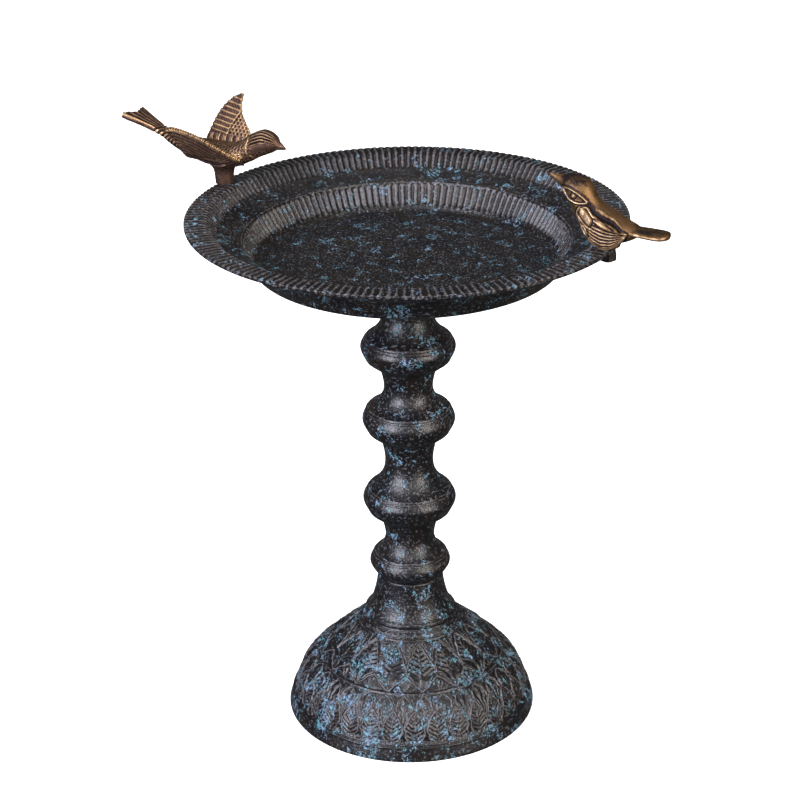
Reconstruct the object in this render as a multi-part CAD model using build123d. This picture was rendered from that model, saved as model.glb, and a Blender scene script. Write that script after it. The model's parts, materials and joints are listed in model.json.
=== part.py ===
"""Bird bath: a cast bowl on a turned-looking cast stem and a domed foot, with two cast birds
bolted to the bowl's rim. Millimetres, +Z up, origin on the floor at the centre of the foot."""

import os
from math import cos, radians, sin, sqrt

from build123d import *

os.makedirs("parts", exist_ok=True)

# Heights of the main joints between castings
FOOT_Z = 0.0
CROWN_Z = 95.0  # top of the dome, where the stem foot stands
STEM_Z = 134.0  # top of the stem foot, where the column stands
PAN_Z = 433.0  # underside of the bowl's pan, on the column's capital
RIM_Z = 478.0  # top of the bowl's rim

# Bowl
RIM_R = 190.0
RIM_INNER_R = 171.4
RIM_T = 4.0
WALL_OUT_R, WALL_OUT_Z = 160.0, 465.0  # foot of the outer wall, where the ledge starts
PAN_R, PAN_EDGE_Z = 142.3, 460.0  # edge of the pan, at the ledge's inner end
FLOOR_R, FLOOR_Z = 127.2, 436.5
BOWL_T = FLOOR_Z - PAN_Z
PAN_ROUND = 5.0
BOSS_R, BOSS_H = 15.5, 20.0
BOSS_BLIND_Z = FLOOR_Z - 4.0  # end of the threaded hole, under the floor
# How many thicknesses the underside stands out from the corners of the top side
WALL_STEP, LEDGE_STEP, PAN_STEP, PAN_PULL = 0.75, 0.5, 2.0, 1.4

# Dome
DOME_T = 4.5
DOME_R = 113.7
FOOT_EDGE_H = 2.0
FOOT_RIM = (110.0, 14.0)  # top of the plain foot rim
LEAF_FOOT = (106.5, 17.0)
LEAF_TOP = (81.5, 54.0)  # top of the lower leaf zone
RING = (77.0, 61.0)
UPPER_FOOT = (72.0, 65.0)
UPPER_TOP = (47.0, 86.5)
CROWN_R = 41.5
LEAF_BULGE = 5.0  # how far the lower leaf zone bellies out from its chord

# Stem foot
STEM_FOOT_R = 42.0
STEM_FOOT_LIP = 2.5
STEM_TOP_R = 29.5
STEM_BORE_TOP, STEM_BORE_FOOT = 14.0, 26.0
FLARE_PULLS = [(4.0, -24.0), (1.0, -10.0)]  # pulls of the flare's curve, from its top edge
SPIGOT_H = 7.0

# Column
BORE_R = 16.0
COLUMN_FOOT_R = 29.0
CAPITAL_R, CAPITAL_LIP = 44.0, 4.0
CAPITAL_NECK_R, CAPITAL_NECK_Z = 22.5, 393.0
REGISTER_GAP = 0.3

# Each knob: groove radius and height, belly radius and height, lower edge radius and height
KNOBS = [
    ((38.6, 365.0), (42.0, 356.6), (37.3, 345.0)),
    ((37.6, 298.3), (41.3, 287.5), (36.4, 276.0)),
    ((38.0, 219.5), (41.8, 210.0), (36.8, 198.0)),
    ((33.0, 155.2), (36.5, 146.5), (33.0, 139.0)),
]
# The necks between the knobs, from the top: radius and height
NECKS = [(21.8, 321.0), (21.6, 250.5), (22.1, 174.0)]
# Directions in which a neck leaves the knob above, and meets the one below
NECK_START, NECK_END = (-0.8, 0, -0.6), (0.75, 0, -0.65)
DOWN = (0, 0, -1)

# Tie rod and its fasteners (M10)
ROD_R = 5.0
ROD_GAP = 0.3
ROD_CHAMFER = 1.0
ROD_TOP_Z = BOSS_BLIND_Z - 1.0
ROD_FOOT_Z = 66.0
ROD_WASHER_R, ROD_WASHER_T = 15.0, 2.5
ROD_LOCK_R, ROD_LOCK_T = 8.0, 2.2
ROD_NUT_AF, ROD_NUT_H = 17.0, 8.0

# Bird studs and their fasteners (M8)
STUD_R = 4.0
STUD_FIT = 0.05
STUD_IN_BIRD, STUD_END_GAP = 12.0, 1.0
BIRD_LOCK_R, BIRD_LOCK_T = 6.4, 1.6
BIRD_NUT_AF, BIRD_NUT_H = 13.0, 6.5
STUD_BELOW_NUT = 1.5
LOCK_SPLIT, LOCK_TILT = 1.6, 30.0  # a lock washer's cut, and how far it leans in degrees
NUT_CHAMFER = 0.6
CUT_PAST = 1.0  # how far a through cut runs past each face

# Where each bird stands on the rim: azimuth of its stud, and the studs' circle
BIRD_CIRCLE_R = 184.0
FLYING_AZ = 151.0
PERCHED_AZ = -26.7

# Stations of a bird's body: x, z, half width, half height, and the spine's slope in degrees.
# A bird's own frame has its stud at the origin, x towards the bowl's centre and y to its left.
FLYING_BODY = [
    (-60.0, 37.0, 7.0, 3.0, -20.0),
    (-40.0, 31.0, 10.0, 7.5, -18.0),
    (-15.0, 27.0, 13.0, 11.0, -8.0),
    (8.0, 27.0, 14.0, 11.0, 8.0),
    (24.0, 33.0, 12.0, 10.5, 24.0),
    (35.0, 40.0, 11.0, 11.0, 22.0),
    (45.0, 44.0, 10.5, 11.0, 5.0),
    (54.0, 43.0, 7.5, 7.0, -10.0),
    (65.0, 40.3, 0.7, 0.7, -14.0),
]
PERCHED_BODY = [
    (-27.0, 15.5, 7.5, 4.0, 4.0),
    (-13.0, 14.8, 12.6, 10.8, 12.0),
    (0.0, 16.4, 15.2, 14.8, 22.0),
    (10.0, 21.5, 15.6, 15.0, 42.0),
    (17.0, 29.0, 13.8, 13.2, 60.0),
    (21.6, 36.5, 12.6, 12.4, 64.0),
    (27.2, 44.4, 12.8, 13.0, 42.0),
    (34.0, 48.6, 10.2, 9.4, 24.0),
    (40.5, 50.6, 6.2, 5.9, 18.0),
    (53.4, 55.0, 0.7, 0.7, 19.0),
]

# Flying bird's post: radius at the rim, at its waist and where it meets the belly
POST_R, POST_TOP_R, POST_FLARE_R = 8.0, 9.5, 13.0
POST_H, POST_WAIST_H = 21.0, 13.5

# Wings: a flat blade in a plane that leans out from the body by the dihedral angle.
# Outline points are along the body and up the blade, from the blade's root line.
WING_T = 2.6
RAISED_DIHEDRAL, RAISED_ROOT = 65.0, (0.0, 9.0, 36.0)
RAISED_WING = [(23, -4), (22.5, 5), (12.5, 18.5), (6, 28), (5.5, 43.3), (-9, 34.5), (-18, 23), (-24, -4)]
SWEPT_DIHEDRAL, SWEPT_ROOT = 55.0, (0.0, -9.0, 25.0)
SWEPT_WING = [(26, -3), (25.6, 3), (8, 17), (-11, 31), (-30, 36), (-40, 29), (-30, 12), (-34, -3)]

# Flying bird's tail: a forked fan behind the body
FORK_ROOT, FORK_SLOPE = (-50.0, 34.2), 25.0
FORK_OUTLINE = [(0, 6.5), (22, 8), (50.5, 17), (53.5, 13.5), (40, 0)]
FORK_T = 4.0

# Perched bird: pad on the rim, folded wings and a straight tail with a round end
PAD_R, PAD_H = 10.0, 6.0
FOLDED_LENGTH, FOLDED_DEPTH, FOLDED_T = 24.0, 12.5, 5.0
FOLDED_AT, FOLDED_SLOPE = (-1.0, 12.5, 15.8), 22.0
TAIL_ROOT, TAIL_SLOPE = (-18.0, 15.8), 1.5
TAIL_LENGTH, TAIL_W, TAIL_T = 35.3, 23.0, 5.5


def spin(lines):
    """A closed outline in the XZ plane, turned about the Z axis."""
    return revolve(make_face(lines), Axis.Z, 360)


def tube(radius, hole, low, high):
    """A round ring or bush standing on the Z axis."""
    ring = Circle(radius) - Circle(hole)
    return extrude(Pos(0, 0, low) * ring, high - low)


def point(radius_and_height):
    """A point of a turned outline, in the XZ plane."""
    radius, height = radius_and_height
    return (radius, 0, height)


def make_bowl():
    """The dish is one even skin, with a threaded boss under its floor."""
    rim_low = RIM_Z - RIM_T
    corner = (FLOOR_R + BOWL_T * PAN_STEP, PAN_Z + PAN_ROUND)
    pull = (FLOOR_R + BOWL_T * PAN_PULL, PAN_Z)
    flat = (FLOOR_R, PAN_Z)
    outline = [
        (0, FLOOR_Z),
        (FLOOR_R, FLOOR_Z),
        (PAN_R, PAN_EDGE_Z),
        (WALL_OUT_R, WALL_OUT_Z),
        (RIM_INNER_R, RIM_Z),
        (RIM_R, RIM_Z),
        (RIM_R, rim_low),
        (RIM_INNER_R + RIM_T * WALL_STEP, rim_low),
        (WALL_OUT_R + BOWL_T * WALL_STEP, WALL_OUT_Z - BOWL_T),
        (PAN_R + BOWL_T * LEDGE_STEP, PAN_EDGE_Z - BOWL_T),
        corner,
    ]
    dish = spin(
        [
            Polyline([point(p) for p in outline]),
            Bezier(point(corner), point(pull), point(flat)),
            Polyline(point(flat), (0, 0, PAN_Z), (0, 0, FLOOR_Z)),
        ]
    )
    boss_foot = Pos(0, 0, PAN_Z - BOSS_H)
    boss = boss_foot * extrude(Circle(BOSS_R), BOSS_H)
    thread = boss_foot * extrude(Circle(ROD_R + STUD_FIT), BOSS_BLIND_Z - PAN_Z + BOSS_H)
    bowl = dish + boss - thread
    stud_hole = Pos(0, 0, -RIM_T - CUT_PAST) * extrude(Circle(STUD_R + STUD_FIT), RIM_T + 2 * CUT_PAST)
    for azimuth in (FLYING_AZ, PERCHED_AZ):
        bowl -= on_rim(azimuth) * stud_hole
    return bowl


def make_base_dome():
    """The dome is one even skin, with a hole in its flat crown for the tie rod."""
    low, high = Vector(*point(LEAF_FOOT)), Vector(*point(LEAF_TOP))
    chord = high - low
    out = Vector(chord.Z, 0, -chord.X).normalized() * LEAF_BULGE
    outline = [
        Polyline(
            point((DOME_R, FOOT_Z)),
            point((DOME_R, FOOT_EDGE_H)),
            point(FOOT_RIM),
            point(LEAF_FOOT),
        ),
        ThreePointArc(low, low + chord * 0.5 + out, high),
        Polyline(
            point(LEAF_TOP),
            point(RING),
            point(UPPER_FOOT),
            point(UPPER_TOP),
            point((CROWN_R, CROWN_Z)),
            point((ROD_R + ROD_GAP, CROWN_Z)),
        ),
    ]
    edges = [edge for line in outline for edge in line.edges()]
    return spin(offset(Wire(edges), DOME_T, side=Side.RIGHT))


def make_stem_foot():
    """A plain flare, with a spigot on top that centres the column."""
    low = point((STEM_FOOT_R, CROWN_Z + STEM_FOOT_LIP))
    pulls = [point((STEM_TOP_R + out, STEM_Z + up)) for out, up in FLARE_PULLS]
    high = point((STEM_TOP_R, STEM_Z))
    spigot_r = BORE_R - REGISTER_GAP
    inside = Polyline(
        high,
        point((spigot_r, STEM_Z)),
        point((spigot_r, STEM_Z + SPIGOT_H)),
        point((STEM_BORE_TOP, STEM_Z + SPIGOT_H)),
        point((STEM_BORE_TOP, STEM_Z)),
        point((STEM_BORE_FOOT, CROWN_Z)),
        point((STEM_FOOT_R, CROWN_Z)),
    )
    return spin([Line(point((STEM_FOOT_R, CROWN_Z)), low), Bezier(low, *pulls, high), inside])


def neck_lines(above, neck, below):
    """From a knob's lower edge in to the neck, and out again to the next knob's groove."""
    top = Spline(point(above), point(neck), tangents=[NECK_START, DOWN])
    foot = Spline(point(neck), point(below), tangents=[DOWN, NECK_END])
    return [top, foot]


def make_column():
    """The baluster: a capital, four knobs and the necks between them, round one straight bore."""
    capital_foot = (CAPITAL_R, PAN_Z - CAPITAL_LIP)
    lines = [Polyline(point((BORE_R, PAN_Z)), point((CAPITAL_R, PAN_Z)), point(capital_foot))]
    above = capital_foot
    for neck, (groove, belly, edge) in zip([(CAPITAL_NECK_R, CAPITAL_NECK_Z)] + NECKS, KNOBS):
        lines += neck_lines(above, neck, groove)
        lines.append(ThreePointArc(point(groove), point(belly), point(edge)))
        above = edge
    foot = [above, (COLUMN_FOOT_R, STEM_Z), (BORE_R, STEM_Z), (BORE_R, PAN_Z)]
    lines.append(Polyline([point(p) for p in foot]))
    return spin(lines)


def hex_nut(across_flats, height, hole, low):
    """A hexagon nut on the Z axis, its top face up at low + height, with its corners eased."""
    blank = Pos(0, 0, low) * extrude(RegularPolygon(across_flats / 2, 6, major_radius=False), height)
    limit = tube(across_flats / sqrt(3), hole, low, low + height)
    limit = chamfer(limit.edges().group_by(SortBy.LENGTH)[-1], NUT_CHAMFER)
    return blank & limit


def lock_washer(radius, hole, low, high):
    """A spring lock washer: a ring with one cut."""
    gap = Pos(radius, 0, (low + high) / 2) * Rot(LOCK_TILT, 0, 0) * Box(2 * radius, LOCK_SPLIT, 2 * radius)
    return tube(radius, hole, low, high) - gap


def make_rod_set():
    """The tie rod with its washers and nut, under the dome's crown."""
    hole = ROD_R + STUD_FIT
    seat = CROWN_Z - DOME_T
    lock = seat - ROD_WASHER_T
    nut = lock - ROD_LOCK_T
    rod = Pos(0, 0, ROD_FOOT_Z) * extrude(Circle(ROD_R), ROD_TOP_Z - ROD_FOOT_Z)
    rod = chamfer(rod.edges().filter_by(GeomType.CIRCLE), ROD_CHAMFER)
    return {
        "tie_rod": rod,
        "rod_washer": tube(ROD_WASHER_R, ROD_R + ROD_GAP, lock, seat),
        "rod_lock_washer": lock_washer(ROD_LOCK_R, hole, nut, lock),
        "rod_nut": hex_nut(ROD_NUT_AF, ROD_NUT_H, hole, nut - ROD_NUT_H),
    }


def on_rim(azimuth):
    """A bird's own frame: at its stud on the rim, x towards the bowl's centre."""
    angle = radians(azimuth)
    place = Pos(BIRD_CIRCLE_R * cos(angle), BIRD_CIRCLE_R * sin(angle), RIM_Z)
    return place * Rot(0, 0, azimuth + 180)


def make_stud_set(name):
    """A bird's stud with its lock washer and nut, under the rim, in the bird's frame."""
    hole = STUD_R + STUD_FIT
    seat = -RIM_T
    nut = seat - BIRD_LOCK_T
    low = nut - BIRD_NUT_H - STUD_BELOW_NUT
    stud = Pos(0, 0, low) * extrude(Circle(STUD_R), STUD_IN_BIRD - low)
    return {
        name + "_stud": stud,
        name + "_lock_washer": lock_washer(BIRD_LOCK_R, hole, nut, seat),
        name + "_nut": hex_nut(BIRD_NUT_AF, BIRD_NUT_H, hole, nut - BIRD_NUT_H),
    }


def body_of(stations):
    """A bird's body and head, as one skin over oval sections along its spine."""
    ovals = []
    for x, z, half_width, half_height, slope in stations:
        forward = (cos(radians(slope)), 0, sin(radians(slope)))
        upward = (-forward[2], 0, forward[0])
        across = Plane(origin=(x, 0, z), x_dir=upward, z_dir=forward)
        ovals.append(across * Ellipse(half_height, half_width))
    return loft(ovals, ruled=True)


def blade(outline, root, dihedral, side):
    """A flat wing with a rounded outline, leaning out by the dihedral angle. side is 1 for left."""
    up = (0, side * cos(radians(dihedral)), sin(radians(dihedral)))
    normal = Vector(1, 0, 0).cross(Vector(*up))
    plane = Plane(origin=root, x_dir=(1, 0, 0), z_dir=normal)
    lead, trail = outline[0], outline[-1]
    shape = make_face([Spline(outline), Line(trail, lead)])
    return extrude(plane * shape, WING_T / 2, both=True)


def make_flying_bird():
    """The flying bird: body, raised left wing, swept right wing, forked tail and conical post."""
    bird = body_of(FLYING_BODY)
    bird += blade(RAISED_WING, RAISED_ROOT, RAISED_DIHEDRAL, 1)
    bird += blade(SWEPT_WING, SWEPT_ROOT, SWEPT_DIHEDRAL, -1)
    x, z = FORK_ROOT
    slope = radians(FORK_SLOPE)
    fan = Plane(origin=(x, 0, z), x_dir=(-cos(slope), 0, sin(slope)), z_dir=(sin(slope), 0, cos(slope)))
    half = FORK_OUTLINE + [(u, -v) for u, v in reversed(FORK_OUTLINE[:-1])]
    bird += extrude(fan * make_face(Polyline(half, close=True)), FORK_T / 2, both=True)
    post = [(0, 0), (POST_R, 0), (POST_TOP_R, POST_WAIST_H), (POST_FLARE_R, POST_H), (0, POST_H)]
    bird += spin(Polyline([point(p) for p in post], close=True))
    return bird - blind_hole()


def blind_hole():
    """The threaded hole for a bird's stud."""
    return extrude(Circle(STUD_R + STUD_FIT), STUD_IN_BIRD + STUD_END_GAP)


def make_perched_bird():
    """The perched bird: body, folded wings, straight tail and a flat pad on the rim."""
    bird = body_of(PERCHED_BODY)
    x, y, z = FOLDED_AT
    for side in (1, -1):
        wing = scale(Sphere(1), by=(FOLDED_LENGTH, FOLDED_T, FOLDED_DEPTH))
        bird += Pos(x, side * y, z) * Rot(0, -FOLDED_SLOPE, 0) * wing
    x, z = TAIL_ROOT
    slope = radians(TAIL_SLOPE)
    flat = Plane(origin=(x, 0, z), x_dir=(-cos(slope), 0, -sin(slope)), z_dir=(-sin(slope), 0, cos(slope)))
    end = TAIL_LENGTH - TAIL_W / 2
    outline = Pos(end / 2, 0) * Rectangle(end, TAIL_W) + Pos(end, 0) * Circle(TAIL_W / 2)
    bird += extrude(flat * outline, TAIL_T / 2, both=True)
    bird += extrude(Circle(PAD_R), PAD_H)
    return bird - blind_hole()


def main():
    parts = {
        "bowl": make_bowl(),
        "column": make_column(),
        "stem_foot": make_stem_foot(),
        "base_dome": make_base_dome(),
        **make_rod_set(),
    }
    birds = {
        FLYING_AZ: {"flying_bird": make_flying_bird(), **make_stud_set("flying_bird")},
        PERCHED_AZ: {"perched_bird": make_perched_bird(), **make_stud_set("perched_bird")},
    }
    for azimuth, pieces in birds.items():
        for name, piece in pieces.items():
            parts[name] = on_rim(azimuth) * piece
    for name, piece in parts.items():
        export_step(piece, f"parts/{name}.step")


main()
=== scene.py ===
"""The looks of a cast bird bath: four turned castings with their ornament in relief, and two cast
birds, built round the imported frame. Shapes are worked out in millimetres and made in metres."""

import json
import math
from collections import namedtuple

import bpy
import numpy as np
from mathutils import Matrix, Vector


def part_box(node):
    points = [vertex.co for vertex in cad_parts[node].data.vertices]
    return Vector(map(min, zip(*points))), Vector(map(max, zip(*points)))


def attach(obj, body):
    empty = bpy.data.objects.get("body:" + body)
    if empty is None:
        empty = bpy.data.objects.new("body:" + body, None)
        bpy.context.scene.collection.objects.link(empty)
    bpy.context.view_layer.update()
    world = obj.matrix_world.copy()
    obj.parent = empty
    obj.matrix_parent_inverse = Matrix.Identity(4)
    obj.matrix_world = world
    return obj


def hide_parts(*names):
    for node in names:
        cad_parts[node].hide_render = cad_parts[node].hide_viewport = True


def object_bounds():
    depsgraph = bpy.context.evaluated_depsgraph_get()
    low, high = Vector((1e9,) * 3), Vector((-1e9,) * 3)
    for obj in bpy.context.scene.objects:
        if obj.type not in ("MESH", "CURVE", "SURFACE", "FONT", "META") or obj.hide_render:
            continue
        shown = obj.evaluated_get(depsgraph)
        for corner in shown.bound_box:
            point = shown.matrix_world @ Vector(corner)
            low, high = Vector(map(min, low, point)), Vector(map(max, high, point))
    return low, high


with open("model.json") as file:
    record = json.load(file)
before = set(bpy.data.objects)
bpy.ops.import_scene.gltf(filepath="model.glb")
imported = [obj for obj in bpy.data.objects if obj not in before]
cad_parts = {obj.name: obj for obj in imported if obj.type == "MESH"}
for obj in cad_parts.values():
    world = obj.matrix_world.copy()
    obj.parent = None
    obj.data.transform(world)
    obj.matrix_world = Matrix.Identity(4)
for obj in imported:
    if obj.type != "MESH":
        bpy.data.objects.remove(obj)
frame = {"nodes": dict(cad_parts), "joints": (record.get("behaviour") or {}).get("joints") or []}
cad_low, cad_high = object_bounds()

MM = 0.001
TURN = 2 * math.pi


def node_box(name):
    """A node's lowest and highest corners, in millimetres."""
    low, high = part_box(name)
    return low / MM, high / MM


bowl_low, bowl_high = node_box("bowl")
column_low, column_high = node_box("column")
stem_low, stem_high = node_box("stem_foot")
dome_low, dome_high = node_box("base_dome")
rod_r = node_box("tie_rod")[1].x

# ---------------------------------------------------------------- small shaping functions


def bump(distance, width):
    """1 where distance is 0, easing to 0 at width on both sides."""
    return np.clip(1 - (distance / width) ** 2, 0, 1) ** 2


def rise(value, low, high):
    """0 below low, 1 above high, and a smooth step between."""
    x = np.clip((value - low) / (high - low), 0, 1)
    return x * x * (3 - 2 * x)


def around(azimuth, count, first):
    """Place within one of count equal sectors, from -0.5 to 0.5, where 0 is at first and its repeats."""
    return ((azimuth - first) * count / TURN + 0.5) % 1 - 0.5


def bars(azimuth, count, roundness):
    """Round bars side by side: 1 along each bar's middle, 0 in the grooves between them."""
    return np.abs(np.sin(azimuth * count / 2)) ** roundness


def nearest(points, x, z):
    """Distance from each (x, z) to a chain of straight lines."""
    best = np.full(len(x), np.inf)
    for (ax, az), (bx, bz) in zip(points, points[1:]):
        dx, dz = bx - ax, bz - az
        along = np.clip(((x - ax) * dx + (z - az) * dz) / (dx * dx + dz * dz), 0, 1)
        best = np.minimum(best, np.hypot(x - ax - along * dx, z - az - along * dz))
    return best


def depth_inside(points, x, z):
    """Distance in from a closed outline, negative outside it."""
    closed = list(points) + [points[0]]
    inside = np.zeros(len(x), bool)
    for (ax, az), (bx, bz) in zip(closed, closed[1:]):
        if az != bz:
            crosses = (az > z) != (bz > z)
            inside ^= crosses & (x < ax + (z - az) * (bx - ax) / (bz - az))
    return np.where(inside, 1, -1) * nearest(closed, x, z)


def eased(points, steps, closed=False):
    """A smooth curve through the points, as steps places for each stretch between two."""
    p = np.array(points, float)
    if closed:
        p = np.vstack([p[-1], p, p[0], p[1]])
    else:
        p = np.vstack([2 * p[0] - p[1], p, 2 * p[-1] - p[-2]])
    t = np.linspace(0, 1, steps, endpoint=False)[:, None]
    runs = []
    for a, b, c, d in zip(p, p[1:], p[2:], p[3:]):
        curve = (2 * b) + (c - a) * t + (2 * a - 5 * b + 4 * c - d) * t**2 + (3 * b - a - 3 * c + d) * t**3
        runs.append(curve / 2)
    if not closed:
        runs.append(p[-2:-1])
    return np.vstack(runs)


# ---------------------------------------------------------------- turned castings

# A band is a stretch of a turned profile: (radius, height) points, the spacing of its rows, its
# columns, and a function of (azimuth, distance along the band) that gives height and wear with
# painted shading (lighter ridges as painted highlight, darker grooves as painted shade), each
# one number for the whole row or one for each azimuth.
Band = namedtuple("Band", "points spacing columns relief")
NARROWEST_CELL = 0.3


def plain(azimuth, along):
    return 0, 0


def profile_rows(bands, closed):
    """Every row of a turned profile: radius, height, columns, relief function, distance along."""
    rows = []
    for band in bands:
        points = np.array(band.points, float)
        lengths = np.hypot(*np.diff(points, axis=0).T)
        stations = np.concatenate([[0], np.cumsum(lengths)])
        count = max(1, round(stations[-1] / band.spacing))
        for along in np.linspace(0, stations[-1], count, endpoint=False):
            r = np.interp(along, stations, points[:, 0])
            z = np.interp(along, stations, points[:, 1])
            rows.append([r, z, band.columns, band.relief, along])
    if not closed:
        rows.append([*bands[-1].points[-1], bands[-1].columns, plain, 0])
    for row in rows:
        while row[2] % 2 == 0 and TURN * row[0] / row[2] < NARROWEST_CELL:
            row[2] //= 2
    return rows


def turned(name, bands, closed, softness=2):
    """A turned casting with relief. An open profile starts and ends on the axis."""
    rows = profile_rows(bands, closed)
    line = np.array([row[:2] for row in rows], float)
    for _ in range(softness):
        soft = (np.roll(line, 1, 0) + 2 * line + np.roll(line, -1, 0)) / 4
        if not closed:
            soft[[0, -1]] = line[[0, -1]]
        line = soft
    way = np.roll(line, -1, 0) - np.roll(line, 1, 0)
    if not closed:
        way[0], way[-1] = line[1] - line[0], line[-1] - line[-2]
    way /= np.linalg.norm(way, axis=1)[:, None]
    points, wear_and_shading_rows, starts, counts = [], [], [], []
    for (r, z), (dr, dz), (_, _, columns, relief, along) in zip(line, way, rows):
        on_axis = not closed and len(starts) in (0, len(rows) - 1)
        columns = 1 if on_axis else columns
        azimuth = np.arange(columns) * TURN / columns
        height, wear_and_shading = (value + 0 * azimuth for value in relief(azimuth, along))
        radius = 0 * azimuth if on_axis else r - dz * height
        starts.append(sum(counts))
        counts.append(columns)
        level = z + dr * height * (0 if on_axis else 1)
        points.append(np.column_stack([radius * np.cos(azimuth), radius * np.sin(azimuth), level]))
        wear_and_shading_rows.append(wear_and_shading)
    faces = []
    pairs = list(zip(range(len(rows)), range(1, len(rows))))
    if closed:
        pairs.append((len(rows) - 1, 0))
    for a, b in pairs:
        faces += between_rings(starts[a], counts[a], starts[b], counts[b])
    return make_piece(name, np.vstack(points), faces, np.concatenate(wear_and_shading_rows), Matrix.Identity(4))


def between_rings(a, many, b, other):
    """Faces between a ring of points from a and the next ring from b, one count the other's double."""
    i = np.arange(many)
    if other == 1:
        return np.column_stack([a + i, 0 * i + b, a + (i + 1) % many]).tolist()
    if many == 1:
        i = np.arange(other)
        return np.column_stack([0 * i + a, b + i, b + (i + 1) % other]).tolist()
    if many == other:
        j = (i + 1) % many
        return np.column_stack([a + i, b + i, b + j, a + j]).tolist()
    if many == 2 * other:
        i = np.arange(other)
        j = (i + 1) % other
        odd = a + 2 * i + 1
        fans = [[a + 2 * i, b + i, odd], [odd, b + i, b + j], [odd, b + j, a + 2 * j]]
    else:
        j = (i + 1) % many
        odd = b + 2 * i + 1
        fans = [[a + i, b + 2 * i, odd], [a + i, odd, a + j], [a + j, odd, b + 2 * j]]
    return np.vstack([np.column_stack(fan) for fan in fans]).tolist()


def add_object(name, data):
    made = bpy.data.objects.new(name, data)
    bpy.context.scene.collection.objects.link(made)
    return made


def make_piece(name, points, faces, wear_and_shading, place):
    """A shaded mesh object from millimetre points, with its wear and its painted light and shade stored for
    its material.
    """
    mesh = bpy.data.meshes.new(name)
    mesh.from_pydata((points * MM).tolist(), [], faces)
    mesh.transform(place)
    stored = mesh.attributes.new("relief", "FLOAT", "POINT")
    stored.data.foreach_set("value", np.clip(wear_and_shading, -1, 1).astype(np.float32))
    mesh.polygons.foreach_set("use_smooth", np.ones(len(mesh.polygons), bool))
    mesh.update()
    return add_object(name, mesh)


# ---------------------------------------------------------------- the bowl

RIM_RIBS = 184
PAN_FLUTES = 144
RIB_DEPTH = 1.6
FLUTE_DEPTH = 1.7
SCALLOP = 0.9
BOWL_COLUMNS = 8 * RIM_RIBS
RIM_INNER_R, RIM_T = 171.4, 4.0
LEDGE_R, LEDGE_Z = 160.0, 465.0
PAN_R, PAN_EDGE_Z = 142.3, 460.0
FLOOR_R, FLOOR_Z = 127.2, 436.5
PAN_Z = column_high.z
BOWL_T = FLOOR_Z - PAN_Z
BOSS_R = 15.5
BLIND_Z = FLOOR_Z - 4.0
FLOOR_LINE = 0.40  # depth of the fine lines engraved in the floor
THREAD_GAP = 0.05
# How many thicknesses the underside stands out from the corners of the top side
WALL_STEP, LEDGE_STEP = 0.75, 0.5
# The underside's round corner, as (thicknesses out from the floor's edge, millimetres up)
UNDER_CORNER = [(2.2, 6.5), (1.6, 2.2), (0, 0)]


def rosette(azimuth, radius, count, centre_r, reach, spacing, first):
    """Nested round arcs about count centres on a circle, like overlapping shells."""
    side = around(azimuth, count, first) * TURN / count
    away = np.hypot(radius * np.cos(side) - centre_r, radius * np.sin(side))
    return np.where(away < reach, np.cos(TURN * away / spacing), 0), away


def floor_relief(azimuth, radius):
    """A fine engraved rosette: a flower in the middle, two rounds of shells, a ring and beads."""
    if radius < 26:
        petal = np.abs(around(azimuth, 8, 0.2)) * 2
        edge = 24 * (1 - 0.42 * petal**1.6)
        lines = -bump((edge - radius) % 4.0 - 2.0, 0.9) * (radius > 5)
        return FLOOR_LINE * lines, 0.8 * lines
    if radius < 62:
        waves, away = rosette(azimuth, radius, 16, 28.0, 19.0, 2.8, 0.0)
        outer, _ = rosette(azimuth, radius, 16, 46.0, 15.0, 2.6, TURN / 32)
        lines = np.where(away < 19.0, waves, outer)
    elif radius < 112:
        waves, away = rosette(azimuth, radius, 24, 66.0, 23.0, 2.9, 0.1)
        outer, _ = rosette(azimuth, radius, 24, 90.0, 22.0, 2.8, 0.1 + TURN / 48)
        lines = np.where(away < 23.0, waves, outer)
    else:
        lines = 0
    ring = bump(radius - 121.5, 1.1)
    beads = bump(radius - 118.3, 1.4) * bars(azimuth, 300, 1.0)
    height = FLOOR_LINE * (0.5 * lines + 0.5 * ring + beads)
    return height, 0.7 * lines + 0.2 * ring + 0.5 * beads - 0.1


def pan_wall_relief(azimuth, along):
    """Flutes up the pan's wall, which stop short of the floor, under a fine line at the edge."""
    held = rise(along, 2.5, 9.0) * (1 - rise(along, 23.6, 25.4))
    bar = bars(azimuth, PAN_FLUTES, 1.2)
    edge = bump(along - 27.0, 1.6)
    height = FLUTE_DEPTH * held * (bar - 1) + 0.35 * edge
    # flute tops lighter and grooves darker: wear with painted highlight and painted shade
    return height, held * (2.5 * bar - 1.6) + 0.9 * edge - 0.15 * (1 - held)


def ledge_relief(azimuth, along):
    """The ledge is plain between two soft lines."""
    lines = bump(along - 1.5, 1.2) + 0.6 * bump(along - 16.6, 1.2)
    return 0.2 * lines, 0.5 * lines - 0.25


def outer_wall_relief(azimuth, along):
    """The rim's ribs carry on down the outer wall and fade out at the ledge."""
    held = rise(along, 0.6, 3.4)
    bar = bars(azimuth, RIM_RIBS, 1.4)
    # rib tops lighter and grooves darker: wear with painted highlight and painted shade
    return RIB_DEPTH * held * (bar - 1), held * (2.5 * bar - 1.6) - 0.2 * (1 - held)


def rim_relief(azimuth, along):
    """Ribs across the rim, lighter where they turn over its two edges, as wear and painted highlight."""
    bar = bars(azimuth, RIM_RIBS, 1.4)
    crest = bump(along - 0.8, 2.0) + bump(along - 17.6, 2.4)
    # rib tops lighter and grooves darker: wear with painted highlight and painted shade
    return RIB_DEPTH * (bar - 1), 2.5 * bar - 1.75 + 0.4 * crest


def rim_edge_relief(azimuth, along):
    """The rim's edge is scalloped by the ends of its ribs."""
    bar = bars(azimuth, RIM_RIBS, 0.7)
    return SCALLOP * (bar - 1), 0.8 * bar - 0.3


def under_relief(azimuth, along):
    """Faint turned steps under the bowl."""
    step = bump(along % 21.0 - 10.5, 1.0)
    return 0.18 * step, 0.35 * step - 0.1


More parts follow.
